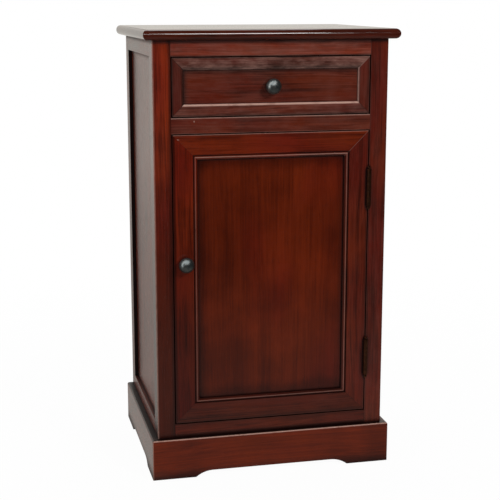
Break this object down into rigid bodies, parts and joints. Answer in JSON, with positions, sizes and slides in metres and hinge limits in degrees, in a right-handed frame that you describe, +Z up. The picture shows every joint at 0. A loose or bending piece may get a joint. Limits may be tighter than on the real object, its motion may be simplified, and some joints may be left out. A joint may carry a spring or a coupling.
{
  "type": "storage side table with door",
  "caption": "Tall narrow cupboard side table: moulded top, drawer over a hinged mitred-frame door, shelf inside, panelled sides, mitred plinth cut to feet.",
  "frame": {"origin": "on the floor, at the middle of the outer box", "axes": "+X to the right as one faces the door, +Y from the door to the back, +Z up"},
  "size_m": [0.432, 0.359, 0.762],
  "materials": {
    "stained_wood": "red-brown stain under satin lacquer",
    "plain_wood": "planed, clear sealed",
    "dark_metal": "blackened bronze, satin",
    "steel": "zinc plated",
    "plastic": "moulded, brown"
  },
  "bodies": {
    "cabinet": {"top_board": "stained_wood", "post_front_left": "stained_wood", "post_front_right": "stained_wood", "post_back_left": "stained_wood", "post_back_right": "stained_wood", "front_rail_top": "stained_wood", "front_rail_middle": "stained_wood", "front_rail_bottom": "stained_wood", "side_rail_top_left": "stained_wood", "side_rail_top_right": "stained_wood", "side_rail_bottom_left": "stained_wood", "side_rail_bottom_right": "stained_wood", "side_panel_left": "stained_wood", "side_panel_right": "stained_wood", "back_rail_top": "stained_wood", "back_rail_bottom": "stained_wood", "back_panel": "stained_wood", "bottom_board": "stained_wood", "shelf": "stained_wood", "plinth_front": "stained_wood", "plinth_left": "stained_wood", "plinth_right": "stained_wood", "plinth_back": "stained_wood", "drawer_runner_left": "plain_wood", "drawer_runner_right": "plain_wood", "drawer_kicker_left": "plain_wood", "drawer_kicker_right": "plain_wood", "closing_stops": "plain_wood", "plinth_blocks": "plain_wood", "hinge_leaves_case": "dark_metal", "hinge_pins": "dark_metal", "shelf_pins": "steel", "top_screws": "steel", "case_screws": "steel", "magnetic_catch": "plastic"},
    "door": {"door_stile_left": "stained_wood", "door_stile_right": "stained_wood", "door_rail_top": "stained_wood", "door_rail_bottom": "stained_wood", "door_panel": "stained_wood", "hinge_leaves_door": "dark_metal", "door_knob": "dark_metal", "door_screws": "steel", "door_knob_screw": "steel", "catch_strike": "steel"},
    "drawer": {"drawer_frame_top": "stained_wood", "drawer_frame_bottom": "stained_wood", "drawer_frame_left": "stained_wood", "drawer_frame_right": "stained_wood", "drawer_front_panel": "stained_wood", "drawer_box_front": "plain_wood", "drawer_side_left": "plain_wood", "drawer_side_right": "plain_wood", "drawer_back": "plain_wood", "drawer_bottom": "plain_wood", "drawer_knob": "dark_metal", "drawer_knob_screw": "steel", "button_screw": "steel"},
    "stop_button": {"stop_button": "plastic"}
  },
  "joints": [
    {"name": "door_hinge", "type": "hinge", "parent": "cabinet", "child": "door", "pos_m": [0.1691, -0.1587, 0.344], "axis": [0, 0, 1], "range_deg": [0, 180]},
    {"name": "drawer_slide", "type": "slide", "parent": "cabinet", "child": "drawer", "axis": [0, -1, 0], "range_m": [0, 0.216]},
    {"name": "stop_button_turn", "type": "hinge", "parent": "drawer", "child": "stop_button", "pos_m": [0, 0.1237, 0.6908], "axis": [0, 1, 0], "range_deg": [0, 90]}
  ]
}
